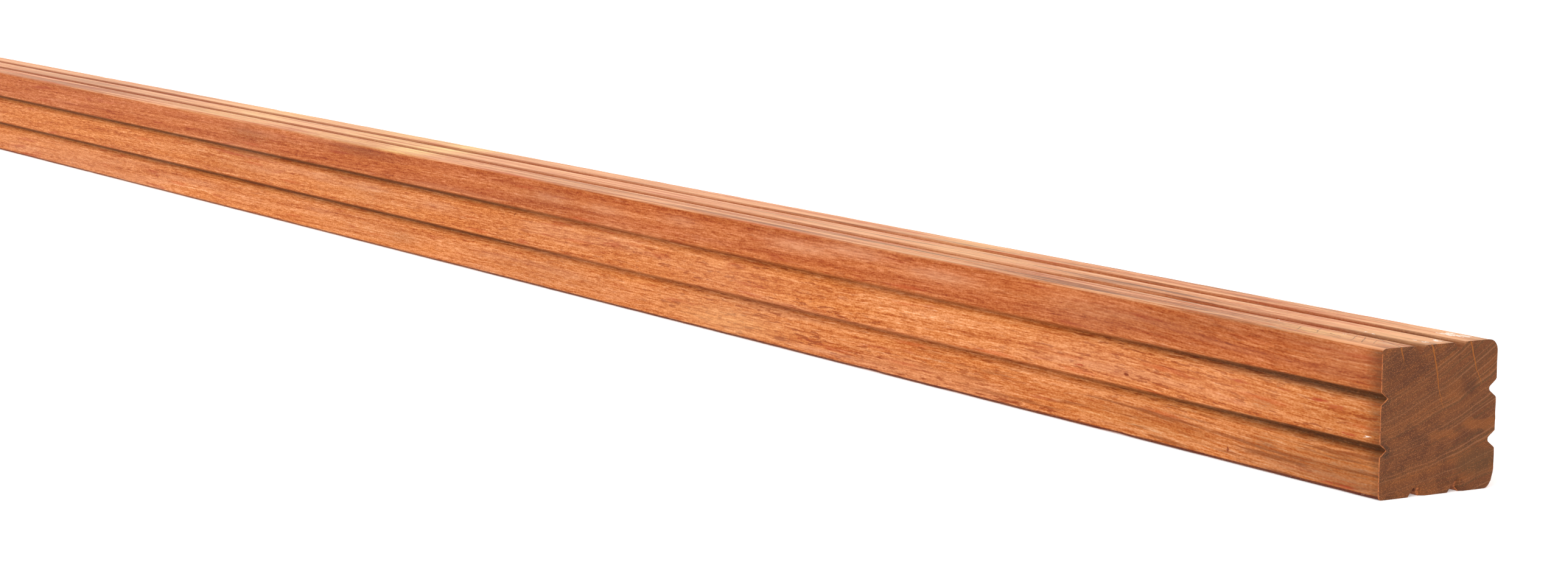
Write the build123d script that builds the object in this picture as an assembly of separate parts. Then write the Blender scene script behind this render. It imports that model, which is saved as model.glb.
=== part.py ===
from build123d import *
import os

# Pointed hardwood post: square garden post, planed, grooved along all four sides, sharpened at one end.
# It lies along X with its square-cut end at +X and its point at -X, and rests on its lower side at Z = 0.
# The origin is below the middle of the post, at floor level. The front side faces -Y. Lengths are in millimetres.

# Overall size
post_length = 2750.0
side = 65.0

# Two V-grooves run along each side, an equal way from its middle. Their sizes are those of the sharp V.
groove_spacing = 22.2
groove_width = 6.6
groove_depth = 4.1
groove_root_radius = 0.6
groove_lip_radius = 0.5

# The lower pair lies a little nearer the front
lower_groove_shift = 1.5

# The front side is cut more shallowly
front_groove_width = 5.6
front_groove_depth = 3.7
front_groove_root_radius = 0.4
front_groove_lip_radius = 0.4

# The rear side is cut deeper and rounder
rear_groove_width = 7.6
rear_groove_depth = 4.9
rear_groove_root_radius = 1.4
rear_groove_lip_radius = 1.0

# Long edges: planed lightly at the front and rounder at the upper rear
front_arris_radius = 2.0
rear_arris_radius = 4.5

# The lower rear edge follows the round of the log
wane_width = 5.0
wane_height = 10.5

# Four saw cuts make the point and leave a blunt square tip
point_length = 120.0
tip_side = 14.0

half = side / 2
square_end_x = post_length / 2
tip_x = square_end_x - post_length
shoulder_x = tip_x + point_length


def groove_section(width, depth, root_radius):
    """V with a rounded root, its mouth on the upper side of the section."""
    vee = make_face(Polyline((-width / 2, 0), (0, -depth), (width / 2, 0), close=True))
    root = vee.vertices().sort_by(Axis.Y)[0]
    return Pos(0, half) * fillet(root, root_radius)


def wane_section():
    """What the lower rear edge lacks: a corner block outside a quarter ellipse."""
    block = Pos(half - wane_width / 2, wane_height / 2 - half) * Rectangle(wane_width, wane_height)
    round_of_log = Pos(half - wane_width, wane_height - half) * Ellipse(wane_width, wane_height)
    return block - round_of_log


def rounded(section, places, radius):
    """The section with its corners nearest to these places rounded."""
    corners = [section.vertices().sort_by_distance(place)[0] for place in places]
    return fillet(corners, radius)


def grooved(section, turn, width, depth, root_radius, lip_radius, shift=0.0):
    """The section with two grooves in one of its sides, which the turn brings round from the upper side."""
    groove = groove_section(width, depth, root_radius)
    lips = []
    for offset in (-groove_spacing / 2, groove_spacing / 2):
        place = Rot(Z=turn) * Pos(offset + shift, 0)
        section -= place * groove
        lips += [(place * Pos(edge * width / 2, half)).position for edge in (-1, 1)]
    return rounded(section, lips, lip_radius)


def post_section():
    """Square section in the YZ plane, about its own middle, with grooves and rounded edges."""
    upper = (groove_width, groove_depth, groove_root_radius, groove_lip_radius)
    lower = (*upper, lower_groove_shift)
    front = (front_groove_width, front_groove_depth, front_groove_root_radius, front_groove_lip_radius)
    rear = (rear_groove_width, rear_groove_depth, rear_groove_root_radius, rear_groove_lip_radius)
    section = Sketch() + Rectangle(side, side)
    for turn, sizes in ((0, upper), (90, front), (180, lower), (270, rear)):
        section = grooved(section, turn, *sizes)
    section = rounded(section, [(-half, half), (-half, -half)], front_arris_radius)
    section = rounded(section, [(half, half)], rear_arris_radius)
    return section - wane_section()


def saw_plane():
    """Plane of a saw cut, from the shoulder on the upper side down to the tip. It faces the waste."""
    slope = (half - tip_side / 2) / point_length
    return Plane(origin=(shoulder_x, 0, half), x_dir=(1, 0, slope), z_dir=(-slope, 0, 1))


def post():
    """The whole post on the floor: a grooved bar, turned a quarter after each of the saw cuts at its point."""
    bar = extrude(Plane.YZ.offset(tip_x) * post_section(), post_length)
    for _ in range(4):
        bar = Rot(X=90) * split(bar, bisect_by=saw_plane(), keep=Keep.BOTTOM)
    return Pos(0, 0, half) * bar


os.makedirs("parts", exist_ok=True)
export_step(post(), "parts/post.step")
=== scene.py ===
import math
import random

import bmesh
import bpy
import numpy as np
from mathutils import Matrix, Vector
from mathutils.geometry import delaunay_2d_cdt


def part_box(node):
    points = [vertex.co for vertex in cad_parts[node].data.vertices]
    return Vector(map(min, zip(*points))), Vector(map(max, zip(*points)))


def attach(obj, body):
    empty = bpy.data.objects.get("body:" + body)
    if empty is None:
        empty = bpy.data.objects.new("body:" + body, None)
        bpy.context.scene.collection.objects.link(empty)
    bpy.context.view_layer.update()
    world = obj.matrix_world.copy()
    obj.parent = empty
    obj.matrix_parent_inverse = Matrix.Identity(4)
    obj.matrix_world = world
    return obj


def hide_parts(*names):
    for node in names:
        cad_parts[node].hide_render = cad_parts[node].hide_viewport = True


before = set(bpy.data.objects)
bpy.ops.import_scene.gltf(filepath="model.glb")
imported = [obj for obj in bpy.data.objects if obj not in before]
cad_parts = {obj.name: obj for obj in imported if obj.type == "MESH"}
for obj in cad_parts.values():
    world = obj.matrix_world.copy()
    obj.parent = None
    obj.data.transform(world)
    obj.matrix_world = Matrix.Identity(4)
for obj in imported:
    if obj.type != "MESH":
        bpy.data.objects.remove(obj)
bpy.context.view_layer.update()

mm = 0.001
low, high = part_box("post")
side = (high.z - low.z) / mm
half = side / 2
length = (high.x - low.x) / mm
endX = high.x / mm  # the square-cut end; the point is at the other
print("frame loaded: post", round(length), "mm long and", round(side), "mm square")


def added(name, data):
    # a new object, put in the scene
    made = bpy.data.objects.new(name, data)
    bpy.context.scene.collection.objects.link(made)
    return made


# small helpers for shader nodes

current = {}  # its "tree" is the node tree of the finish that is being made


def paint(red, green, blue):
    # a screen colour, 0 to 255, as the linear values that sockets take
    def straight(c):
        c = c / 255
        return c / 12.92 if c <= 0.04045 else ((c + 0.055) / 1.055) ** 2.4
    return (straight(red), straight(green), straight(blue), 1.0)


def plug(socket, value):
    if isinstance(value, bpy.types.NodeSocket):
        socket.id_data.links.new(value, socket)
    else:
        socket.default_value = value


def addNode(kind, plugs, **settings):
    made = current["tree"].nodes.new("ShaderNode" + kind)
    for name, value in settings.items():
        setattr(made, name, value)
    for name, value in plugs.items():
        plug(made.inputs[name], value)
    return made


def maths(operation, a, b=0.0, c=0.0):
    return addNode("Math", {0: a, 1: b, 2: c}, operation=operation).outputs[0]


def times(a, b):
    return maths("MULTIPLY", a, b)


def vectors(operation, a, b):
    return addNode("VectorMath", {0: a, 1: b}, operation=operation).outputs[0]


def span(value, start, stop, toLow=0.0, toHigh=1.0):
    # soft step: toLow before start, toHigh after stop
    plugs = {"Value": value, "From Min": start, "From Max": stop, "To Min": toLow, "To Max": toHigh}
    return addNode("MapRange", plugs, interpolation_type="SMOOTHSTEP").outputs[0]


def laid(share, under, over, mode="MIX"):
    # one colour laid over another
    mixed = addNode("Mix", {0: share}, data_type="RGBA", blend_type=mode)
    plug(mixed.inputs[6], under)
    plug(mixed.inputs[7], over)
    return mixed.outputs[2]


def tinted(under, over, share, strength):
    # the same, with a share that has a strength of its own
    return laid(times(share, strength), under, over)


def stretched(place, along, across, shift):
    # coordinates in which a feature is along x across mm large
    plugs = {
        "Vector": place,
        "Location": (shift, shift * 1.7, shift * 0.6),
        "Scale": (1 / along, 1 / across, 1 / across),
    }
    return addNode("Mapping", plugs).outputs[0]


def noiseNode(place, along, across, shift, detail, roughness=0.5):
    spot = stretched(place, along, across, shift)
    return addNode("TexNoise", {"Vector": spot, "Scale": 1.0, "Detail": detail, "Roughness": roughness})


def noiseAt(place, along, across, shift, detail=2.0, roughness=0.5):
    return noiseNode(place, along, across, shift, detail, roughness).outputs[0]


def cellsAt(place, along, across, shift):
    # the distance to the middle of a cell, and the cell's own random number
    spot = stretched(place, along, across, shift)
    cells = addNode("TexVoronoi", {"Vector": spot, "Scale": 1.0})
    lot = addNode("SeparateColor", {0: cells.outputs["Color"]}).outputs[0]
    return cells.outputs["Distance"], lot


def attribute(name):
    return addNode("Attribute", {}, attribute_name=name).outputs["Fac"]


def newFinish(name):
    finish = bpy.data.materials.new(name)
    finish.use_nodes = True
    current["tree"] = finish.node_tree
    finish.node_tree.nodes.clear()
    shader = addNode("BsdfPrincipled", {})
    addNode("OutputMaterial", {"Surface": shader.outputs[0]})
    return finish, shader


def surfaced(shader, tone, colour, relief, strength, depth):
    # the colour, the sheen and a fine bump, its depth in mm
    bump = addNode("Bump", {"Height": relief, "Strength": strength, "Distance": depth * mm})
    plug(shader.inputs["Base Color"], colour)
    plug(shader.inputs["Normal"], bump.outputs[0])
    shader.inputs["Roughness"].default_value = tone["roughness"]
    shader.inputs["Specular IOR Level"].default_value = tone["shine"]


def placeInMm():
    plugs = {0: addNode("TexCoord", {}).outputs["Object"], "Scale": 1 / mm}
    return addNode("VectorMath", plugs, operation="SCALE").outputs[0]


def toneRamp(value, stops):
    ramp = addNode("ValToRGB", {0: value})
    elements = ramp.color_ramp.elements
    elements[0].position, elements[0].color = stops[0]
    elements[1].position, elements[1].color = stops[-1]
    for at, colour in stops[1:-1]:
        elements.new(at).color = colour
    return ramp.outputs[0]


def summed(parts):
    # weighted sum of noises, each centred on a half
    total = 0.5 - sum(weight for _, weight in parts) / 2
    for value, weight in parts:
        total = maths("MULTIPLY_ADD", value, weight, total)
    return total


def pushed(place, along, across, reach, shift):
    # place moved about by a noise of that size, up to half of reach mm each way
    loose = noiseNode(place, along, across, shift, 1.0).outputs[1]
    centred = vectors("SUBTRACT", loose, (0.5, 0.5, 0.5))
    return vectors("ADD", place, vectors("MULTIPLY", centred, reach))


def grainPlace(place, slope, dip):
    # coordinates that follow the grain: a slope, a dip at the square end, a slow sway and a fine waviness
    dipLength, dipDepth = dip
    split = addNode("SeparateXYZ", {0: place}).outputs
    dipped = span(maths("SUBTRACT", endX, split[0]), 0.0, dipLength, 0.0, dipDepth)
    level = maths("MULTIPLY_ADD", split[0], -slope, split[2])
    level = maths("SUBTRACT", level, dipped)
    sloped = addNode("CombineXYZ", {0: split[0], 1: split[1], 2: level}).outputs[0]
    swayed = pushed(sloped, 240, 50, (0.0, 3.0, 3.0), 4.4)
    return pushed(swayed, 18.0, 4.0, (0.0, 0.5, 0.5), 7.7)


def dashes(place, along, across, shift, start, stop):
    # ragged dashes: the highest parts of a stretched noise
    return span(noiseAt(place, along, across, shift, 3.0, 0.55), start, stop)


def flecks(place, along, across, shift, size, kept):
    # scattered dashes; kept is the share of the cells that hold one
    away, lot = cellsAt(place, along, across, shift)
    chosen = span(lot, 1 - kept - 0.05, 1 - kept + 0.1)
    return times(span(away, size, size * 0.3), chosen)


def spotAt(place, centre, sizes):
    # one soft mark at a given place
    scaled = vectors("DIVIDE", vectors("SUBTRACT", place, centre), sizes)
    away = addNode("VectorMath", {0: scaled}, operation="LENGTH").outputs["Value"]
    return span(away, 1.0, 0.45)


def lineAt(place, start, stop, width):
    # a thin line between two points, thinning out at its edges
    along = Vector(stop) - Vector(start)
    moved = vectors("SUBTRACT", place, start)
    plugs = {0: moved, 1: along / along.length_squared}
    dot = addNode("VectorMath", plugs, operation="DOT_PRODUCT").outputs["Value"]
    share = addNode("Clamp", {"Value": dot}).outputs[0]
    foot = addNode("VectorMath", {0: along, "Scale": share}, operation="SCALE").outputs[0]
    away = addNode("VectorMath", {0: moved, 1: foot}, operation="DISTANCE").outputs["Value"]
    return span(away, width, width * 0.3)


# finishes

planedHardwood = {
    "ramp": (  # from the darkest strokes to the palest
        (0.10, paint(126, 50, 16)),
        (0.25, paint(161, 76, 26)),
        (0.40, paint(181, 100, 45)),
        (0.50, paint(194, 117, 62)),
        (0.60, paint(206, 131, 78)),
        (0.75, paint(222, 151, 100)),
        (0.90, paint(236, 178, 134)),
    ),
    "red": paint(156, 50, 18),
    "ember": paint(184, 72, 22),
    "pale": paint(232, 170, 124),
    # painted sheen of the upper side, also its pale streaks
    "paintedSheen": paint(248, 186, 138),
    "fleck": paint(114, 38, 6),
    "dash": paint(134, 50, 4),
    "brown": paint(130, 62, 22),
    "hair": paint(104, 60, 38),
    "grey": paint(124, 98, 84),
    # groove dirt and painted shade, warm painted shade up top, painted shade of the lower front edge
    "dirtAndShade": paint(62, 41, 26),
    "warmGrooveShade": paint(134, 56, 28),
    "edge": paint(72, 18, 10),
    "dust": paint(176, 150, 126),
    "shade": paint(74, 40, 20),
    "bloom": paint(206, 148, 112),
    # painted yellow highlight
    "paintedHighlight": paint(255, 214, 140),
    "redWash": (0.74, 0.55, 0.5, 1.0),
    "amberWash": (0.97, 0.88, 0.64, 1.0),
    "grainSlope": 0.012,
    "grainDip": (210.0, 8.0),  # over what length the grain dips at the square end, and how far
    "grain": {  # size along and across the grain in mm, a shift, then detail and roughness
        "cloud": (320, 24, 3.1),
        "bands": (380, 4.6, 8.3),
        "lines": (170, 1.2, 4.2, 2.0, 0.55),
        "strand": (44, 1.0, 5.7, 2.0, 0.6),
        "fibre": (8.0, 0.7, 1.9, 2.0, 0.6),
        "grit": (1.7, 0.75, 6.6, 1.0),
        "hue": (190, 9, 12.4),
        "hairs": (260, 3.4, 7.9, 4.0, 0.65),
        "gloss": (300, 3.0, 2.7, 3.0, 0.6),
    },
    "weights": {"cloud": 0.32, "bands": 0.36, "lines": 0.5, "strand": 0.5, "fibre": 0.85, "grit": 0.5},
    "dashes": {  # the same sizes and shift, then where a dash begins and where it is full
        "darker": (15, 1.6, 2.2, 0.595, 0.63),
        "thinner": (9, 1.05, 7.1, 0.6, 0.645),
        "redder": (60, 4.6, 9.6, 0.6, 0.72),
        "lower": (70, 2.4, 3.9, 0.5, 0.64),
    },
    "flecks": {  # the same sizes and shift, then the size in a cell and the share of cells
        "streaks": (70, 4.4, 6.4, 0.36, 0.22),
        "paler": (24, 1.6, 1.3, 0.3, 0.14),
    },
    "marks": (  # distance from the square end, y, z, half sizes in mm, tone and strength
        (177.0, -32.5, 29.3, 2.6, 2.0, 0.9, "fleck", 0.9),
        (101.0, -32.5, 6.2, 1.0, 2.0, 1.6, "fleck", 0.8),
        (796.0, -32.5, 41.9, 1.0, 2.0, 2.6, "fleck", 0.8),
        (213.0, -32.5, 28.6, 6.0, 2.0, 0.7, "red", 0.8),
        (128.0, -32.5, 34.7, 8.0, 2.0, 0.7, "red", 0.6),
        (93.0, -32.5, 38.0, 10.0, 2.0, 1.0, "red", 0.65),
        (64.0, -32.5, 38.8, 7.0, 2.0, 0.9, "red", 0.55),
        (40.0, -32.5, 37.6, 8.0, 2.0, 1.1, "red", 0.8),
        (28.0, -32.5, 36.1, 9.0, 2.0, 1.3, "red", 0.65),
        (73.0, -32.5, 19.6, 11.0, 2.0, 0.9, "red", 0.7),
        (20.0, -32.5, 25.9, 8.0, 2.0, 0.8, "red", 0.75),
        (27.0, -32.5, 2.6, 16.0, 2.0, 1.1, "red", 0.6),
        (71.0, -32.5, 39.6, 7.0, 2.0, 0.9, "shade", 0.4),
        (77.0, -32.5, 29.8, 12.0, 2.0, 3.2, "shade", 0.2),
        (76.0, -32.5, 13.0, 14.0, 2.0, 4.2, "shade", 0.22),
        (64.0, -30.6, 65.0, 26.0, 1.6, 2.0, "grey", 0.75),
        # a pale smear near the square end: dust and a painted highlight
        (12.0, -20.0, 65.0, 6.0, 4.0, 2.0, "dust", 0.5),
    ),
    "hairlines": (  # cracks of the upper side: distance from the end and y of both ends, strength
        (36.4, -10.8, 0.0, -21.8, 0.75),
        (19.6, -27.7, 29.3, -16.5, 0.6),
        (26.4, -27.2, 36.0, -15.6, 0.5),
        (51.3, -25.4, 59.6, -16.0, 0.5),
        (14.2, -25.6, 20.3, -18.4, 0.4),
        (62.4, -26.9, 67.8, -20.2, 0.6),
        (46.6, -22.1, 36.3, -24.5, 0.6),
    ),
    "hairlineWidth": 0.42,
    "roughness": 0.52,
    "shine": 0.07,
}


def planedWood():
    finish, shader = newFinish("planedHardwood")
    tone = planedHardwood
    place = placeInMm()
    split = addNode("SeparateXYZ", {0: place}).outputs
    fromEnd = maths("SUBTRACT", endX, split[0])

    def along(*steps):
        return span(fromEnd, *steps)  # between distances from the square end

    def upward(*steps):
        return span(split[2], *steps)  # between heights

    grain = grainPlace(place, tone["grainSlope"], tone["grainDip"])
    noise = {name: noiseAt(grain, *sizes) for name, sizes in tone["grain"].items()}
    dash = {name: dashes(grain, *sizes) for name, sizes in tone["dashes"].items()}
    fleck = {name: flecks(grain, *sizes) for name, sizes in tone["flecks"].items()}
    value = summed([(noise[name], weight) for name, weight in tone["weights"].items()])
    colour = toneRamp(value, tone["ramp"])

    # yellower and greyer clouds, then strokes, the dark ones gathered towards the square end
    colour = laid(span(noise["hue"], 0.48, 0.66, 0.0, 0.7), colour, tone["amberWash"], "MULTIPLY")
    colour = laid(span(noise["hue"], 0.46, 0.32, 0.0, 0.22), colour, tone["bloom"])
    lowDown = times(dash["lower"], times(upward(21.0, 17.0), along(480.0, 200.0, 0.12, 1.0)))
    redder = times(dash["redder"], along(30.0, 180.0, 0.4, 1.0))
    gathered = times(span(noise["cloud"], 0.62, 0.42, 0.4, 1.0), upward(48.0, 45.0, 0.4, 1.0))
    gathered = times(gathered, along(900.0, 450.0, 0.4, 1.0))
    for share, strength, over in (
        (lowDown, 0.66, "brown"),
        (fleck["streaks"], 0.4, "ember"),
        (redder, 0.5, "red"),
        (fleck["paler"], 0.3, "pale"),
        (times(dash["thinner"], gathered), 0.6, "dash"),
        (times(dash["darker"], gathered), 0.8, "dash"),
    ):
        colour = tinted(colour, tone[over], share, strength)

    # painted sheen: the upper side is paler, but less so between about 100 and 300 mm from the square end
    onTop = upward(side - 1.2, side - 0.3)
    spared = maths("MAXIMUM", along(220.0, 380.0, 0.45, 1.0), along(130.0, 60.0, 0.4, 1.0))
    sheenShare = times(span(split[1], -17.0, -11.0, 0.26, 0.5), spared)
    colour = tinted(colour, tone["paintedSheen"], onTop, sheenShare)

    # stains and painted light on the mesh: red is shade, green a grey bloom, blue a yellow highlight, alpha
    # a redder tone
    stainsAndPaintedLight = addNode("Attribute", {}, attribute_name="stainsAndPaintedLight")
    share = addNode("SeparateColor", {0: stainsAndPaintedLight.outputs["Color"]}).outputs
    speckle = span(summed(((noise["strand"], 0.6), (noise["fibre"], 0.8))), 0.3, 0.7, 0.55, 1.0)
    colour = laid(times(stainsAndPaintedLight.outputs["Alpha"], 0.9), colour, tone["redWash"], "MULTIPLY")
    for channel, over in ((1, "bloom"), (2, "paintedHighlight"), (0, "shade")):
        colour = tinted(colour, tone[over], share[channel], speckle)

    # single marks with ragged edges; all but the small dark flecks are streaky
    ragged = pushed(pushed(place, 9, 2.4, (0.0, 1.4, 1.4), 3.3), 3, 1.2, (2.0, 0.7, 0.7), 6.1)
    strokes = summed(((noise["strand"], 0.5), (noise["fibre"], 1.0), (noise["grit"], 0.4)))
    streaky = span(strokes, 0.38, 0.6, 0.05, 1.1)
    for away, y, z, *sizes, over, strength in tone["marks"]:
        mark = spotAt(ragged, (endX - away, y, z), sizes)
        if over != "fleck":
            mark = times(mark, streaky)
        colour = tinted(colour, tone[over], mark, strength)

    # the upper side: long fine lines, the pale ones painted sheen, and hairline cracks near the square end
    hairShare = maths("MINIMUM", along(700.0, 350.0, 0.25, 0.7), along(60.0, 150.0, 0.3, 0.7))
    for name, start, stop, most, over in (
        ("hairs", 0.5, 0.36, hairShare, "hair"),
        ("hairs", 0.52, 0.62, 0.55, "ember"),
        ("gloss", 0.5, 0.64, 0.6, "paintedSheen"),
    ):
        streak = span(noise[name], start, stop, 0.0, most)
        colour = tinted(colour, tone[over], streak, onTop)
    wavy = pushed(place, 6, 4, (1.6, 1.6, 0.0), 1.4)
    for startAway, startY, stopAway, stopY, strength in tone["hairlines"]:
        ends = ((endX - startAway, startY, side), (endX - stopAway, stopY, side))
        line = lineAt(wavy, *ends, tone["hairlineWidth"])
        colour = tinted(colour, tone["hair"], line, strength)

    # dirt and painted shade in the grooves with a little dust, and painted shade along the lower front edge
    inUpper = upward(side - 7.0, side - 4.5)
    lowEdge = upward(4.5, 3.0)
    patchy = maths("MAXIMUM", along(700.0, 860.0, 0.45, 0.85), along(420.0, 30.0))
    patchy = maths("MAXIMUM", patchy, times(inUpper, 0.6))
    patchy = maths("MAXIMUM", patchy, times(lowEdge, along(1300.0, 800.0, 0.3, 1.0)))
    grooveDarkness = span(attribute("grooveDirtAndShade"), 0.05, 0.85)
    dirtAndShadeNoise = span(noiseAt(place, 1.6, 0.7, 3.7), 0.2, 0.65, 0.75, 1.0)
    dirtAndShade = times(times(grooveDarkness, patchy), dirtAndShadeNoise)
    # tone of the dirt and painted shade: warm in the upper grooves, darkest on the lower front edge
    dirtAndShadeTone = laid(inUpper, tone["dirtAndShade"], tone["warmGrooveShade"])
    dirtAndShadeTone = tinted(dirtAndShadeTone, tone["hair"], inUpper, along(70.0, 25.0))
    dirtAndShadeTone = laid(lowEdge, dirtAndShadeTone, tone["edge"])
    colour = tinted(colour, dirtAndShadeTone, dirtAndShade, 0.88)
    specks = times(flecks(place, 1.3, 0.9, 5.5, 0.36, 0.05), grooveDarkness)
    colour = tinted(colour, tone["dust"], specks, 0.7)

    relief = summed(((noise["fibre"], 0.5), (noise["strand"], 0.5)))
    relief = maths("SUBTRACT", relief, times(dash["darker"], 0.5))
    surfaced(shader, tone, colour, relief, 0.3, 0.08)
    roughest = tone["roughness"] + 0.06
    plug(shader.inputs["Roughness"], span(noise["fibre"], 0.3, 0.7, roughest, tone["roughness"]))
    return finish


sawnEndGrain = {
    "ground": paint(112, 65, 37),
    "deep": paint(76, 42, 28),
    "warm": paint(140, 80, 38),
    "grey": paint(90, 62, 38),
    "line": paint(150, 104, 72),
    "pore": paint(188, 116, 66),
    "crack": paint(168, 100, 46),
    # painted shade beside the notches
    "notchShade": paint(58, 44, 34),
    "ringSlope": (0.18, 0.00625),  # rise of the growth lines per mm of y, and how much it grows per mm of z
    "ringPitch": 1.05,
    "bandPitch": 25 / 3,
    "poreSize": 0.56,
    "patches": (  # y and z of the middle, reach in y and z, tone and strength
        (22.0, 12.5, 15.0, 8.0, "grey", 0.55),
        (24.0, 28.5, 15.0, 3.4, "warm", 0.55),
        (3.0, 25.6, 12.0, 2.6, "warm", 0.4),
        (9.0, 45.0, 9.0, 6.0, "warm", 0.3),
        (-20.0, 55.0, 16.0, 11.0, "deep", 0.5),
        (17.0, 46.0, 6.0, 5.0, "deep", 0.4),
        # painted shade beside the two front groove notches
        (-29.6, 20.8, 4.0, 4.0, "notchShade", 0.55),
        (-29.6, 42.6, 3.4, 3.0, "notchShade", 0.4),
    ),
    "roughness": 0.8,
    "shine": 0.2,
}


def ringNoise(ring, pitch, detail):
    plugs = {"W": ring, "Scale": 1 / pitch, "Detail": detail}
    return addNode("TexNoise", plugs, noise_dimensions="1D").outputs[0]


def sawnEnd():
    finish, shader = newFinish("sawnEndGrain")
    tone = sawnEndGrain
    through = 30.0  # mm; nothing changes much into the wood
    place = placeInMm()
    loose = addNode("SeparateXYZ", {0: pushed(place, 40, 18, (0.0, 3.0, 3.0), 2.3)}).outputs
    base, growth = tone["ringSlope"]
    rise = maths("MULTIPLY_ADD", loose[2], -growth, -base)
    ring = maths("MULTIPLY_ADD", loose[1], rise, loose[2])
    fine = ringNoise(ring, tone["ringPitch"], 1.0)
    broad = ringNoise(ring, tone["bandPitch"], 2.0)
    blotch = noiseAt(place, through, 11, 7.0, 3.0, 0.6)
    grit = noiseAt(place, through, 0.7, 3.0)
    toRear = span(addNode("SeparateXYZ", {0: place}).outputs[1], -14.0, 22.0)

    # bands, blotches and growth lines, the lines clearer towards the rear
    colour = tone["ground"]
    for field, start, stop, most, over in (
        (broad, 0.42, 0.7, 0.5, "warm"),
        (blotch, 0.56, 0.34, 0.55, "deep"),
        (grit, 0.52, 0.28, 0.5, "deep"),
        (fine, 0.57, 0.72, span(toRear, 0.0, 1.0, 0.24, 0.42), "line"),
        (fine, 0.48, 0.32, span(toRear, 0.0, 1.0, 0.4, 0.66), "grey"),
    ):
        colour = laid(span(field, start, stop, 0.0, most), colour, tone[over])

    # darker, greyer and warmer patches, and painted shade beside the front groove notches
    loosePlace = pushed(place, 40, 7, (0.0, 5.0, 5.0), 4.1)
    for y, z, wide, tall, over, strength in tone["patches"]:
        patch = spotAt(loosePlace, (endX, y, z), (through * 2, wide, tall))
        colour = tinted(colour, tone[over], patch, strength)

    # pores, thicker towards the front, and the cracks
    away, lot = cellsAt(place, through, tone["poreSize"], 1.0)
    shown = maths("ADD", lot, span(toRear, 0.0, 1.0, 0.16, -0.2))
    pores = times(span(away, 0.46, 0.1), span(shown, 0.3, 0.9))
    colour = tinted(colour, tone["pore"], pores, 0.54)
    cracks = span(attribute("endCheck"), 0.05, 0.6)
    colour = tinted(colour, tone["crack"], cracks, 0.9)
    surfaced(shader, tone, colour, maths("SUBTRACT", grit, pores), 0.35, 0.15)
    return finish


sawnPointFaces = {
    "ground": paint(190, 118, 76),
    "light": paint(222, 160, 112),
    "pore": paint(110, 56, 34),
    "kerfPitch": 3.4,
    "roughness": 0.7,
    "shine": 0.5,
}


def sawnPoint():
    finish, shader = newFinish("sawnPointFaces")
    tone = sawnPointFaces
    place = placeInMm()
    fuzz = noiseAt(place, 5, 0.8, 2.0, 3.0, 0.6)
    strokes = flecks(place, 8, 1.4, 4.0, 0.4, 0.4)
    kerf = noiseAt(place, tone["kerfPitch"], 60, 3.0)
    colour = laid(span(fuzz, 0.35, 0.7), tone["ground"], tone["light"])
    colour = laid(span(kerf, 0.5, 0.3, 0, 0.4), colour, tone["pore"])
    colour = tinted(colour, tone["pore"], strokes, 0.6)
    surfaced(shader, tone, colour, maths("ADD", kerf, fuzz), 0.6, 0.4)
    return finish


tornFreshWood = {
    "ground": paint(152, 80, 32),
    "light": paint(186, 108, 50),
    "deep": paint(90, 44, 20),
    "roughness": 0.7,
    "shine": 0.5,
}


def tornWood():
    finish, shader = newFinish("tornFreshWood")
    tone = tornFreshWood
    fuzz = noiseAt(placeInMm(), 3, 0.6, 2.0, 3.0, 0.6)
    colour = laid(span(fuzz, 0.4, 0.7), tone["ground"], tone["light"])
    colour = laid(span(fuzz, 0.45, 0.25), colour, tone["deep"])
    surfaced(shader, tone, colour, fuzz, 0.6, 0.3)
    return finish


paleTornFibre = {
    "ground": paint(250, 238, 226),
    "warm": paint(232, 196, 166),
    "roughness": 0.6,
}


def paleFibre():
    finish, shader = newFinish("paleTornFibre")
    tone = paleTornFibre
    fuzz = noiseAt(placeInMm(), 4, 0.5, 2.0)
    colour = laid(span(fuzz, 0.4, 0.65), tone["ground"], tone["warm"])
    plug(shader.inputs["Base Color"], colour)
    shader.inputs["Roughness"].default_value = tone["roughness"]
    return finish


# the post

everywhere = 1e6
upperSide, frontSide = 2, 3  # places in the order in which the outline takes the sides

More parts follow.
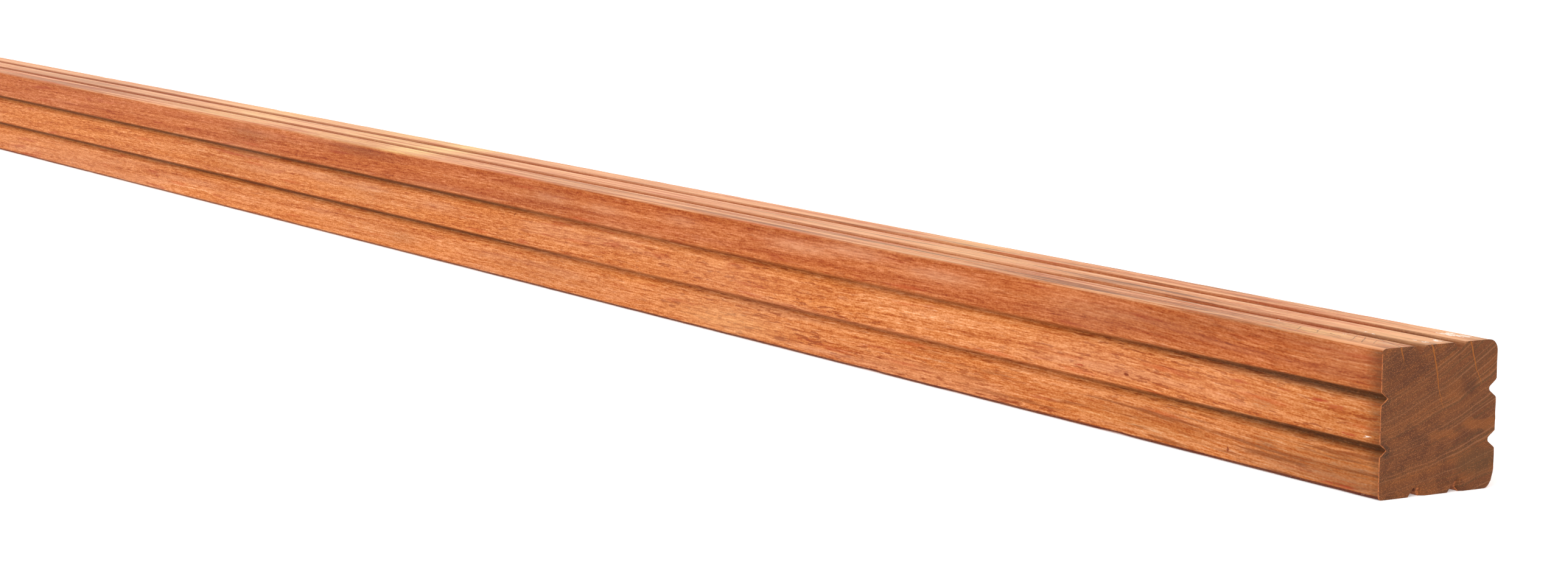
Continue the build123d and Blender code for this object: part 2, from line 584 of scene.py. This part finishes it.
postPlan = {
    "section": {
        "grooveSpacing": 22.2,
        "lowerShift": 1.5,  # the lower pair lies that much nearer the front
        "grooves": {  # width and depth of the sharp V, then the rounding of its root and its lips
            "lower": (6.6, 4.1, 0.6, 0.5),
            "rear": (7.6, 4.9, 1.4, 1.0),
            "upper": (6.6, 4.1, 0.6, 0.5),
            "front": (5.6, 3.7, 0.4, 0.4),
        },
        "frontArris": 2.0,
        "rearArris": 4.5,
        "waneWidth": 5.0,
        "waneHeight": 10.5,
        "landStep": 2.4,  # spacing of points across the flat strips
        "dirtAndShade": {  # dirt and painted shade: how soon the two walls of a groove get dark, and how dark its lips get
            "lower": (0.8, 0.8, 0.1),
            "rear": (0.8, 0.8, 0.1),
            "upper": (2.6, 1.2, 0.5),
            "front": (1.2, 0.34, 0.1),
        },
        "edgeShade": ((0.3, 0.5, 0.7), 0.16),  # painted shade line: where on the lower front round, as shares, and the reach
    },
    "point": {"length": 120.0, "tip": 14.0, "step": 3.0},
    "wear": {
        "seed": 11,
        "arris": 0.22,  # how far the long edges wander inwards, over what width, and the wave lengths
        "arrisReach": 1.6,
        "arrisWaves": (310, 97, 41, 23),
        "lip": 0.10,  # the same for the lips of the grooves
        "lipReach": 0.9,
        "lipWaves": (120, 53, 29, 19),
        "nicks": 40,
        "nickDepth": (0.1, 0.35),
        "nickLength": (9.0, 24.0),
        "endChamfer": (0.12, 0.38),
        "step": 8.0,  # spacing of the rings along the post
        "firstStep": 0.3,  # and close to the square end
        "endSpacing": 1.35,  # spacing of the points on the square end and on the tip
        "tipSpacing": 2.0,
    },
    "cracks": (  # in the end grain: points as y and z, then the width and depth at the edge
        (((-22.1, 65.0), (-21.7, 62.4), (-20.8, 60.4), (-20.2, 57.4)), 1.1, 0.4),
        (((-5.0, 65.0), (-4.1, 62.6), (-2.1, 55.3), (-0.5, 46.2), (1.3, 40.5), (2.7, 36.2)), 1.2, 0.5),
        (((16.9, 65.0), (17.8, 62.2), (20.4, 52.9), (22.9, 48.2), (24.4, 45.0)), 1.1, 0.4),
    ),
    "crackStep": 1.1,
    "crackSway": 0.16,
    "tears": (  # lips that the saw tore: y and z of the middle, reach in y and z, depth
        (-9.9, 1.6, 2.5, 3.2, 1.9),
        (12.0, 2.4, 2.5, 4.2, 2.1),
    ),
    "stainsAndPaintedLight": {
        "front": (  # distance from the square end, z, reach along and in z, kind, strength
            (0, 60.5, everywhere, 8, "red", 1), (0, 51, everywhere, 6, "red", 1),
            (0, 32.5, 30, 60, "shade", 0.3), (0, 32.5, 60, 60, "shade", 0.26),
            (0, 8, 260, 9, "shade", 0.22), (0, 8, 95, 12, "shade", 0.66),
            (45, 62, 60, 1.8, "shade", 0.42), (130, 60, 60, 3.4, "shade", 0.3),
            (150, 9, 80, 9, "shade", 0.3), (170, 55, 80, 8, "shade", 0.18),
            (752, 55, 60, 8, "shade", 0.16), (752, 9, 70, 9, "shade", 0.13),
            (956, 10, 24, 4, "shade", 0.3), (1011, 9, 70, 9, "shade", 0.1),
            (1011, 33, 60, 9, "shade", 0.13), (1020, 61, 44, 4, "shade", 0.34),
            (1050, 40.8, 26, 2.6, "shade", 0.22), (1206, 56.3, 36, 4, "shade", 0.36),
            (1250, 33, 70, 9, "shade", 0.11), (24, 55, 26, 8, "bloom", 0.16),
            (110, 33, 40, 9, "bloom", 0.2), (200, 33, 60, 9, "bloom", 0.24),
            (205, 55, 40, 9, "bloom", 0.22), (332, 57, 30, 2.6, "bloom", 0.7),
            # the bloom at 442 mm, 4 mm up, is a painted highlight along the lower edge
            (413, 60.6, 30, 3, "bloom", 0.6), (442, 4, 42, 1.5, "bloom", 0.6),
            (466, 57.4, 32, 3, "bloom", 0.55), (534, 5.4, 20, 1.5, "bloom", 0.5),
            (537, 33, 60, 9, "bloom", 0.24), (537, 9, 60, 9, "bloom", 0.3),
            (592, 57.8, 18, 2.4, "bloom", 0.45), (680, 55.4, 22, 2.4, "bloom", 0.45),
            (750, 56.1, 24, 2.6, "bloom", 0.35), (905, 35.6, 26, 2.6, "bloom", 0.4),
            (1011, 38.3, 24, 2.4, "bloom", 0.4), (1080, 37.2, 26, 2.4, "bloom", 0.4),
            (1180, 33.4, 34, 3, "bloom", 0.35), (1559, 9, 110, 9, "bloom", 0.3),
            # the yellow row below is a painted highlight
            (537, 8, 60, 8, "paintedHighlight", 0.16),
        ),
        "upper": (  # distance from the square end, y, reach along, in y and in z, kind, strength
            (0, 0, 9, everywhere, 3, "shade", 0.4), (150, -23, 50, 10, 3, "shade", 0.18),
            (245, -23, 75, 10, 3, "shade", 0.3), (250, 0, 90, 10, 3, "shade", 0.1),
            (490, 0, 70, 10, 3, "shade", 0.1), (510, -23, 110, 10, 3, "shade", 0.32),
            (720, -23, 90, 10, 3, "shade", 0.26), (1570, -23, 130, 10, 3, "shade", 0.54),
            (1610, 4, 140, 14, 3, "shade", 0.5), (110, -24, 34, 9, 3, "bloom", 0.36),
            # rows of the yellow kind are painted highlights on the upper side, the strongest near 968 mm
            (28, -6, 36, 60, 0.9, "paintedHighlight", 0.16), (50, -23, 30, 10, 0.9, "paintedHighlight", 0.34),
            (356, -14, 48, 24, 0.9, "paintedHighlight", 0.2), (375, 22, 40, 12, 3, "paintedHighlight", 0.3),
            (968, 0, 34, 80, 0.9, "paintedHighlight", 1), (1050, 6, 80, 60, 0.9, "paintedHighlight", 0.5),
            (1260, 0, 100, 60, 0.9, "paintedHighlight", 0.46),
        ),
        "edges": (  # distance, y, z, reach along, in y and in z, kind, strength
            (0, -32.5, 32.5, 10, 6, everywhere, "shade", 0.8),
            (0, 0, 0, 9, everywhere, 20, "shade", 0.5),
            # painted shade along the upper front edge near the square end
            (110, -31.9, 64.4, 150, 1.2, 1.2, "shade", 0.36),
        ),
    },
}


def grooveProfile(width, depth, root, lip):
    lean = math.atan2(depth, width / 2)
    lipRun = lip * math.tan(lean / 2)
    rootMiddle = root / math.cos(lean) - depth
    start = [(-width / 2 - lipRun + lip * math.sin(a), lip * math.cos(a) - lip) for a in (0, lean / 2, lean)]
    bottom = [(root * math.sin(a), rootMiddle - root * math.cos(a)) for a in (-lean, -lean / 2, 0)]
    wall = [tuple(np.add(start[-1], bottom[0]) / 2)]
    descent = start + wall + bottom
    return descent + [(-t, n) for t, n in reversed(descent[:-1])]


def flatStrip(start, stop, step, extra=()):
    # points along a straight part of the outline, none of them too near to the extra ones
    places = np.linspace(start, stop, max(2, round((stop - start) / step) + 1))
    extra = [t for t in extra if start + 0.4 < t < stop - 0.4]
    between = [t for t in places[1:-1] if all(abs(t - e) > 0.4 for e in extra)]
    return sorted([start, stop, *between, *extra])


def postOutline():
    # goes round the section, seen from the square end, and returns a row of facts for each point
    s = postPlan["section"]
    sides = (
        ("lower", (1, 0), (0, -1), s["frontArris"], s["waneWidth"]),
        ("rear", (0, 1), (1, 0), s["waneHeight"], s["rearArris"]),
        ("upper", (-1, 0), (0, 1), s["rearArris"], s["frontArris"]),
        ("front", (0, -1), (-1, 0), s["frontArris"], s["frontArris"]),
    )
    rounds = (  # of the corner that ends each side: reach in y and z, and the count of points
        (s["waneWidth"], s["waneHeight"], 9),
        (s["rearArris"], s["rearArris"], 7),
        (s["frontArris"], s["frontArris"], 5),
        (s["frontArris"], s["frontArris"], 9),
    )
    feet = [-points[0][0] + shift for points, width, _ in postPlan["cracks"]
            for shift in (-width / 2, 0, width / 2)]
    rows = []
    for number, (name, way, out, startTrim, stopTrim) in enumerate(sides):
        width, depth, root, lip = s["grooves"][name]
        profile = grooveProfile(width, depth, root, lip)
        edges = [startTrim - half, half - stopTrim]
        shift = -s["lowerShift"] if name == "lower" else 0.0
        middles = (shift - s["grooveSpacing"] / 2, shift + s["grooveSpacing"] / 2)
        deepest = -min(n for _, n in profile)
        extra = feet if name == "upper" else ()
        first, second, onLip = s["dirtAndShade"][name]
        line = []
        start = edges[0]
        for middle in middles:
            flat = flatStrip(start, middle + profile[0][0], s["landStep"], extra)[:-1]
            line += [(t, 0.0, 0.0, 0.0) for t in flat]
            line += [(middle + t, n, -n / deepest, np.sign(t)) for t, n in profile]
            start = line.pop()[0]
        line += [(t, 0.0, 0.0, 0.0) for t in flatStrip(start, edges[1], s["landStep"], extra)]
        for t, n, share, wall in line:
            y, z = np.multiply(way, t) + np.multiply(out, half + n)
            # painted shade and dirt on the groove walls, each wall at its own strength, and on the lips
            dirtAndShade = share * (first if wall <= 0 else second) + (onLip if wall else 0.0)
            rows.append((y, z, *out, share, min(1.0, dirtAndShade), 0.0, number))
        ry, rz, count = rounds[number]
        cy, cz = np.add(out, sides[(number + 1) % 4][2]) * (half - ry, half - rz)
        for k in range(1, count - 1):
            turned = k / (count - 1)
            a = math.radians(90 * (number - 1 + turned))
            outY, outZ = math.cos(a), math.sin(a)
            dirtAndShade = 0.0
            if number == frontSide:  # a dark line of painted shade runs along the lower front edge
                spots, reach = s["edgeShade"]
                dirtAndShade = max(math.exp(-((turned - at) / reach) ** 2) for at in spots)
            rows.append((cy + ry * outY, cz + rz * outZ, outY, outZ, 0.0, dirtAndShade, 1.0, number))
    return np.array(rows)


def ringPlaces():
    # distances from the square end, close together there and at the point
    wear, point = postPlan["wear"], postPlan["point"]
    shoulder = length - point["length"]
    places = [0.0]
    while places[-1] < shoulder - wear["step"]:
        places.append(places[-1] + min(wear["step"], wear["firstStep"] + 0.16 * places[-1]))
    for third in (length / 3, length * 2 / 3):  # the OFBake map is cut there
        nearest = min(range(len(places)), key=lambda i: abs(places[i] - third))
        places[nearest] = third
    count = round(point["length"] / point["step"]) + 1
    return np.array(places + list(np.linspace(shoulder, length, count)))


def drift(places, rng, lengths):
    # smooth wandering between 0 and 1
    total = sum(np.sin(places * 2 * math.pi / wave + rng.uniform(0, 6.3)) for wave in lengths)
    return 0.5 + 0.5 * total / len(lengths)


def nearTo(travel, around, marks, reach):
    # 1 at the marked points of the outline, fading over that reach
    gap = np.abs(travel[:, None] - travel[marks][None, :])
    gap = np.minimum(gap, around - gap).min(axis=1)
    return np.exp(-(gap / reach) ** 2)


def endFace(outline, spacing, rng, cracks=()):
    # fills a ring of y and z points with small triangles; returns the added points, the triangles,
    # and for every point the depth of a crack there and whether it is in one
    points = [tuple(p) for p in outline]
    edges = []
    depths = [0.0] * len(points)
    marks = [0] * len(points)
    keepOff = []
    sway = postPlan["crackSway"]

    def addPoint(p, depth=0.0, mark=0):
        points.append(tuple(p))
        depths.append(depth)
        marks.append(mark)
        return len(points) - 1

    for line, width, depth in cracks:
        line = [np.array((y, z - half)) for y, z in line]
        steps = np.cumsum([0] + [np.linalg.norm(b - a) for a, b in zip(line, line[1:])])
        count = max(4, int(steps[-1] / postPlan["crackStep"]))
        feet = [min(range(len(outline)), key=lambda i: np.linalg.norm(outline[i] - line[0] - (shift, 0)))
                for shift in (-width / 2, 0, width / 2)]
        marks[feet[1]] = 1
        depths[feet[1]] = depth
        last = feet
        for k in range(1, count + 1):
            at = steps[-1] * k / count
            middle = np.array([np.interp(at, steps, [p[i] for p in line]) for i in (0, 1)])
            aside = rng.uniform(-sway, sway)
            if k < count:
                middle = middle + (aside, 0.0)
            keepOff.append(middle)
            share = (1 - k / count) ** 0.6
            if k == count:
                end = addPoint(middle)
                edges += [(i, end) for i in last]
                break
            fresh = []
            for shift in (-width / 2, 0, width / 2):
                spot = (middle[0] + shift * share, middle[1])
                fresh.append(addPoint(spot) if shift else addPoint(spot, depth * share, 1))
            edges += list(zip(last, fresh))
            last = fresh
    jitter = 0.35 * spacing
    margin = 0.45 * spacing
    crackRoom = 0.6  # mm
    grid = np.arange(-half + spacing / 2, half, spacing)
    for y in grid:
        for z in grid:
            p = np.array((y + rng.uniform(-jitter, jitter), z + rng.uniform(-jitter, jitter)))
            if insideRing(p, outline, margin) and all(np.abs(p - q).max() > crackRoom for q in keepOff):
                addPoint(p)
    found = delaunay_2d_cdt([Vector(p) for p in points], edges, [list(range(len(outline)))], 1, 1e-5)
    names = []
    for spot, group in zip(found[0], found[3]):
        if group:
            names.append(group[0])
        else:  # two lines cross there
            names.append(addPoint(spot))
    triangles = [[names[i] for i in face] for face in found[2]]
    return np.array(points[len(outline):]).reshape(-1, 2), triangles, np.array(depths), np.array(marks)


def insideRing(p, ring, margin):
    # whether a point is inside the ring, and not too near to it
    nextOnes = np.roll(ring, -1, axis=0)
    crosses = (ring[:, 1] > p[1]) != (nextOnes[:, 1] > p[1])
    rise = np.where(crosses, nextOnes[:, 1] - ring[:, 1], 1.0)
    at = ring[:, 0] + (p[1] - ring[:, 1]) / rise * (nextOnes[:, 0] - ring[:, 0])
    inside = np.count_nonzero(crosses & (p[0] < at)) % 2 == 1
    return inside and np.hypot(ring[:, 0] - p[0], ring[:, 1] - p[1]).min() > margin


def tearDepth(y, z):
    # how far the torn lips of the square end lie back
    total = np.zeros(np.shape(y))
    for cy, cz, reachY, reachZ, depth in postPlan["tears"]:
        gap = np.hypot((y - cy) / reachY, (z + half - cz) / reachZ)
        total = np.maximum(total, depth * np.clip(1 - gap ** 2, 0, 1))
    return total


def stainAndLightRows():
    # every stain and painted light patch in one form: its middle, its reach, its kind and its strength
    stainsAndPaintedLight = postPlan["stainsAndPaintedLight"]
    frontReach = 3.0  # mm into the wood
    for away, z, along, reachZ, kind, strength in stainsAndPaintedLight["front"]:
        yield (away, -half, z), (along, frontReach, reachZ), kind, strength
    for away, y, along, reachY, reachZ, kind, strength in stainsAndPaintedLight["upper"]:
        yield (away, y, side), (along, reachY, reachZ), kind, strength
    for away, y, z, along, reachY, reachZ, kind, strength in stainsAndPaintedLight["edges"]:
        yield (away, y, z), (along, reachY, reachZ), kind, strength


def stainAndLightShares(x, y, z):
    kinds = ("shade", "bloom", "paintedHighlight", "red")  # in the order of the colour channels
    shares = np.zeros((len(x), len(kinds)))
    for (away, cy, cz), (along, reachY, reachZ), kind, strength in stainAndLightRows():
        gap = ((endX - x - away) / along) ** 2 + ((y - cy) / reachY) ** 2 + ((z - cz) / reachZ) ** 2
        channel = kinds.index(kind)
        shares[:, channel] = np.maximum(shares[:, channel], strength * np.exp(-gap))
    return shares


def buildPost(finishes):
    wear, point = postPlan["wear"], postPlan["point"]
    rng = np.random.default_rng(wear["seed"])
    rows = postOutline()
    places = ringPlaces()
    count, rings = len(rows), len(places)
    y, z, outY, outZ, share, dirtAndShade, corner, number = rows.T
    travel = np.concatenate([[0], np.cumsum(np.hypot(np.diff(y), np.diff(z)))])
    around = travel[-1] + math.hypot(y[0] - y[-1], z[0] - z[-1])

    # edges and lips that wander and have small nicks
    inward = np.zeros((rings, count))
    lips = (share > 0) & (share < 0.25)
    lipShare = nearTo(travel, around, np.flatnonzero(lips), wear["lipReach"]) * (share < 0.3)
    for k in range(4):
        marks = np.flatnonzero((corner > 0) & (number == k))
        weight = nearTo(travel, around, marks, wear["arrisReach"])
        inward += np.outer(wear["arris"] * drift(places, rng, wear["arrisWaves"]), weight)
        for _ in range(wear["nicks"] // 4):
            reach = rng.uniform(*wear["nickLength"]) / 2
            bite = np.exp(-((places - rng.uniform(0, length)) / reach) ** 2)
            inward += np.outer(rng.uniform(*wear["nickDepth"]) * bite, weight)
        inward += np.outer(wear["lip"] * drift(places, rng, wear["lipWaves"]), lipShare * (number == k))
    inward[:3] *= 0.4  # the rings at the square end keep nearer to the section
    ys = y - outY * inward
    zs = z - outZ * inward

    # the four saw cuts of the point
    shoulder = length - point["length"]
    cut = np.clip((places - shoulder) / point["length"], 0, 1)
    beyond = half + 1  # nothing is cut before the shoulder
    reach = np.where(places >= shoulder, half - cut * (half - point["tip"] / 2), beyond)[:, None]
    onCut = (np.abs(ys) > reach) | (np.abs(zs) > reach)
    ys = np.clip(ys, -reach, reach)
    zs = np.clip(zs, -reach, reach)

    # the square end: a ragged small chamfer, torn lips and cracks
    forward = np.stack([np.roll(ys[0], -1) - np.roll(ys[0], 1), np.roll(zs[0], -1) - np.roll(zs[0], 1)])
    forward = forward / np.linalg.norm(forward, axis=0)
    chamfer = rng.uniform(*wear["endChamfer"], count)
    ys[0] -= forward[1] * chamfer
    zs[0] += forward[0] * chamfer
    endRing = np.stack([ys[0], zs[0]], 1)
    endSizes = (wear["endSpacing"], rng, postPlan["cracks"])
    capPoints, capFaces, capDepths, capMarks = endFace(endRing, *endSizes)
    bite = np.maximum(tearDepth(ys[0], zs[0]) * rng.uniform(0.75, 1.1, count), capDepths[:count])
    back = 14.0  # rings this near to the end move back to make room for a bite
    room = np.clip(1 - places / back, 0, 1)
    distance = places[:, None] + room[:, None] * bite[None, :]
    xs = endX - distance

    side3d = np.stack([xs, ys, zs + half], -1).reshape(-1, 3)
    capBite = tearDepth(capPoints[:, 0], capPoints[:, 1]) * rng.uniform(0.7, 1.15, len(capPoints))
    capBite = np.maximum(capBite, capDepths[count:]) + rng.uniform(0, 0.1, len(capPoints))
    cap3d = np.stack([endX - capBite, capPoints[:, 0], capPoints[:, 1] + half], -1)

    tipRing = np.stack([ys[-1], zs[-1]], 1)
    kept = [i for i in range(count) if np.abs(tipRing[i] - tipRing[i - 1]).max() > 1e-6]
    tipPoints, tipFaces, _, _ = endFace(tipRing[kept], wear["tipSpacing"], rng)
    tip3d = np.stack([np.full(len(tipPoints), endX - length), tipPoints[:, 0], tipPoints[:, 1] + half], -1)
    verts = np.concatenate([side3d, cap3d, tip3d]) * mm

    # faces, their finish and their place on the OFBake map
    firstCap = rings * count
    firstTip = firstCap + len(cap3d)
    faces, slots, spots = [], [], []
    planedSlot, sawnSlot, cutSlot, tornSlot = range(4)
    tornRings = 12  # torn wood shows on that many rings, where the bite is this deep in mm
    sideTorn, endTorn = 0.6, 0.5
    stripLength = length / 3  # the map has three strips for the sides, and above them both ends
    stripLeft, stripWide, stripHigh, stripGap = 0.005, 0.985, 0.29, 0.004
    endLeft, tipLeft, endLow, endWide = 0.01, 0.14, 0.888, 0.108
    uAlong = stripWide / stripLength
    travelOn = np.append(travel, around)
    for i in range(rings - 1):
        strip = min(2, int((places[i] + 1e-6) // stripLength))
        stripLow = strip * (stripHigh + stripGap)
        u0 = stripLeft + (places[i] - strip * stripLength) * uAlong
        u1 = stripLeft + (places[i + 1] - strip * stripLength) * uAlong
        for k in range(count):
            j = (k + 1) % count
            faces.append((i * count + k, (i + 1) * count + k, (i + 1) * count + j, i * count + j))
            v0 = stripLow + travelOn[k] / around * stripHigh
            v1 = stripLow + travelOn[k + 1] / around * stripHigh
            spots += [(u0, v0), (u1, v0), (u1, v1), (u0, v1)]
            bitten = i < tornRings and min(bite[k], bite[j]) > sideTorn
            if bitten or (i == 0 and number[k] == frontSide):
                slots.append(tornSlot)
            elif i == 0:
                slots.append(sawnSlot)
            else:
                slots.append(cutSlot if onCut[i + 1, k] and onCut[i + 1, j] else planedSlot)

    def capSpot(p, left):
        return (left + (p[1] / mm + half) / side * endWide, endLow + (p[2] / mm) / side * endWide)

    for face in capFaces:
        ids = [i if i < count else firstCap + i - count for i in face]
        faces.append(tuple(ids))
        spots += [capSpot(verts[i], endLeft) for i in ids]
        deep = [capBite[i - count] if i >= count else bite[i] for i in face]
        slots.append(tornSlot if min(deep) > endTorn else sawnSlot)
    lastRing = (rings - 1) * count
    for face in tipFaces:
        ids = [lastRing + kept[i] if i < len(kept) else firstTip + i - len(kept) for i in reversed(face)]
        faces.append(tuple(ids))
        spots += [capSpot(verts[i], tipLeft) for i in ids]
        slots.append(sawnSlot)

    mesh = bpy.data.meshes.new("pointedPost")
    mesh.from_pydata([tuple(v) for v in verts], [], faces)
    for finish in finishes:
        mesh.materials.append(finish)
    mesh.polygons.foreach_set("material_index", slots)
    baked = mesh.uv_layers.new(name="OFBake")
    baked.data.foreach_set("uv", np.array(spots).ravel())

    def paintPoints(name, kind, field, values):
        mesh.attributes.new(name, kind, "POINT").data.foreach_set(field, np.ravel(values))

    # towards the square end the dirt and painted shade is lighter in the upper grooves, darker in the front
    near = places[:, None]
    grooveEndScale = np.where(number == frontSide, 1 + 0.8 * np.exp(-(near / 90) ** 2), 1.0)
    grooveEndScale = np.where(number == upperSide, np.clip(0.75 + near / 160, 0, 1), grooveEndScale)
    grooveDarkness = np.clip(dirtAndShade * grooveEndScale, 0, 1).ravel()
    paintPoints("grooveDirtAndShade", "FLOAT", "value", np.append(grooveDarkness, np.zeros(len(cap3d) + len(tip3d))))
    checks = [capMarks[:count], np.zeros(lastRing), capMarks[count:], np.zeros(len(tip3d))]
    paintPoints("endCheck", "FLOAT", "value", np.concatenate(checks))
    paintPoints("stainsAndPaintedLight", "FLOAT_COLOR", "color", stainAndLightShares(*(verts / mm).T))

    shape = bmesh.new()
    shape.from_mesh(mesh)
    bmesh.ops.remove_doubles(shape, verts=shape.verts, dist=0.002 * mm)
    bmesh.ops.dissolve_degenerate(shape, edges=shape.edges, dist=0.001 * mm)
    for face in shape.faces:
        face.smooth = True
    shape.to_mesh(mesh)
    openEdges = sum(1 for edge in shape.edges if len(edge.link_faces) != 2)
    shape.free()
    mesh.set_sharp_from_angle(angle=math.radians(32))
    post = added("pointedPost", mesh)
    print("post:", len(mesh.polygons), "faces,", openEdges, "open edges")
    return post


finishes = [planedWood(), sawnEnd(), sawnPoint(), tornWood()]
print("finishes made:", ", ".join(finish.name for finish in finishes))
post = buildPost(finishes)
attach(post, "root")
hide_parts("post")


# torn pale fibres near the square end

tornFibres = {
    "seed": 5,
    "tufts": (  # side, distance from the end, place across, spread of both, count, length, width
        ("upper", 15.0, 22.8, (6.5, 2.6), 14, (4.0, 8.0), (0.8, 1.7)),
        ("upper", 22.0, 21.5, (2.4, 2.0), 5, (3.0, 6.0), (0.5, 1.0)),
        ("upper", 13.7, -3.1, (0.6, 0.4), 2, (1.5, 2.5), (0.5, 0.9)),
        ("upper", 6.6, -3.0, (0.9, 0.7), 3, (1.5, 3.0), (0.6, 1.1)),
        ("upper", 7.4, 4.6, (1.8, 1.7), 8, (1.5, 3.2), (0.6, 1.2)),
        ("upper", 42.1, -5.6, (0.4, 0.3), 2, (1.5, 2.2), (0.3, 0.6)),
        ("upper", 36.1, -6.6, (0.4, 0.3), 2, (1.5, 2.4), (0.4, 0.7)),
        ("upper", 41.0, -17.0, (0.5, 2.2), 3, (0.8, 1.2), (0.4, 0.7)),
        ("upper", 90.0, -16.0, (4.0, 0.6), 2, (1.0, 1.6), (0.5, 0.8)),
        ("front", 7.4, 26.5, (0.8, 0.25), 2, (4.0, 5.5), (0.3, 0.5)),
    ),
    "lift": (0.05, 0.3),
}


def flake(shape, start, along, across, out, size, rng):
    # a thin ragged strip, pointed at both ends, that curls up a little
    long, wide, lift = size
    last = None
    for k in range(8):
        t = k / 7
        middle = start + along * (long * (t - 0.5)) + out * (lift * (t - 0.3) ** 2)
        middle = middle + across * rng.uniform(-0.12, 0.12) * wide
        spread = wide * math.sin(math.pi * (0.06 + 0.88 * t)) ** 0.7 * rng.uniform(0.55, 1.0) / 2
        ring = [middle + across * spread, middle + out * 0.1, middle - across * spread, middle - out * 0.14]
        ring = [shape.verts.new(p * mm) for p in ring]
        if last:
            for i in range(4):
                shape.faces.new((last[i], last[(i + 1) % 4], ring[(i + 1) % 4], ring[i]))
        else:
            shape.faces.new(ring)
        last = ring
    shape.faces.new(list(reversed(last)))


def buildFibres(finish):
    rng = random.Random(tornFibres["seed"])
    shape = bmesh.new()
    ways = {
        "upper": (Vector((0, 1, 0)), Vector((0, 0, 1))),
        "front": (Vector((0, 0, 1)), Vector((0, -1, 0))),
    }
    for name, away, place, spread, count, longs, wides in tornFibres["tufts"]:
        across, out = ways[name]
        for _ in range(count):
            turn = rng.gauss(0, 0.14)
            along = Vector((math.cos(turn), 0, 0)) + across * math.sin(turn)
            long = rng.uniform(*longs)
            x = endX - max(long / 2 + 0.6, away + rng.uniform(-1, 1) * spread[0])
            offset = place + rng.uniform(-1, 1) * spread[1]
            start = Vector((x, offset, side)) if name == "upper" else Vector((x, -half, offset))
            size = (long, rng.uniform(*wides), rng.uniform(*tornFibres["lift"]))
            flake(shape, start, along, across, out, size, rng)
    bmesh.ops.recalc_face_normals(shape, faces=shape.faces)
    mesh = bpy.data.meshes.new("tornFibres")
    shape.to_mesh(mesh)
    shape.free()
    mesh.materials.append(finish)
    fibres = added("tornFibres", mesh)
    print("torn fibres:", len(mesh.polygons), "faces")
    return fibres


fibres = buildFibres(paleFibre())
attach(fibres, "root")


# floor, light and camera

studio = {
    "floorSize": 24.0,
    "floorTone": (0.97, 0.97, 0.97, 1.0),
    "floorGlow": 0.3,  # keeps the shadow as faint as in the photo
    "skyTone": (1.0, 1.0, 1.0, 1.0),
    "skyStrength": 0.8,
    "sunTurn": (48.0, 0.0, 28.0),  # degrees; it shines from the front, a little from the square end
    "sunSpread": 60.0,
    "sunStrength": 1.6,
    "panelPlace": (-2.9, 2.3, 1.3),  # a tall soft panel behind, which glances off the upper side
    "panelTarget": (0.6, 0.0, 0.0),
    "panelSize": (6.0, 2.4),
    "panelPower": 42.0,
}


def buildStudio():
    mesh = bpy.data.meshes.new("floor")
    reach = studio["floorSize"] / 2
    corners = [(-reach, -reach, 0), (reach, -reach, 0), (reach, reach, 0), (-reach, reach, 0)]
    mesh.from_pydata(corners, [], [(0, 1, 2, 3)])
    finish, shader = newFinish("paleFloor")
    for name, value in (
        ("Base Color", studio["floorTone"]),
        ("Roughness", 1.0),
        ("Specular IOR Level", 0.0),
        ("Emission Color", studio["floorTone"]),
        ("Emission Strength", studio["floorGlow"]),
    ):
        shader.inputs[name].default_value = value
    mesh.materials.append(finish)
    floor = added("floor", mesh)

    world = bpy.data.worlds.new("softSky")
    world.use_nodes = True
    sky = world.node_tree.nodes["Background"]
    sky.inputs["Color"].default_value = studio["skyTone"]
    sky.inputs["Strength"].default_value = studio["skyStrength"]
    bpy.context.scene.world = world

    sun = bpy.data.lights.new("frontSun", "SUN")
    sun.energy = studio["sunStrength"]
    sun.angle = math.radians(studio["sunSpread"])
    added("frontSun", sun).rotation_euler = [math.radians(a) for a in studio["sunTurn"]]
    panel = bpy.data.lights.new("backPanel", "AREA")
    panel.shape = "RECTANGLE"
    panel.size, panel.size_y = studio["panelSize"]
    panel.energy = studio["panelPower"]
    aim = Vector(studio["panelTarget"]) - Vector(studio["panelPlace"])
    backPanel = added("backPanel", panel)
    backPanel.location = studio["panelPlace"]
    backPanel.rotation_euler = aim.to_track_quat("-Z", "Y").to_euler()
    bpy.context.scene.view_settings.view_transform = "Standard"


viewpoint = {
    "place": (2.49304, -1.0166, 0.28545),
    "turn": (82.442, -0.574, 58.46),
    "lens": 81.1,
    "sensor": 36.0,
}


def buildCamera():
    lens = bpy.data.cameras.new("camera")
    lens.sensor_fit = "HORIZONTAL"
    lens.sensor_width = viewpoint["sensor"]
    lens.lens = viewpoint["lens"]
    camera = added("camera", lens)
    camera.location = viewpoint["place"]
    camera.rotation_euler = [math.radians(a) for a in viewpoint["turn"]]
    bpy.context.scene.camera = camera


buildStudio()
buildCamera()
print("studio and camera set")
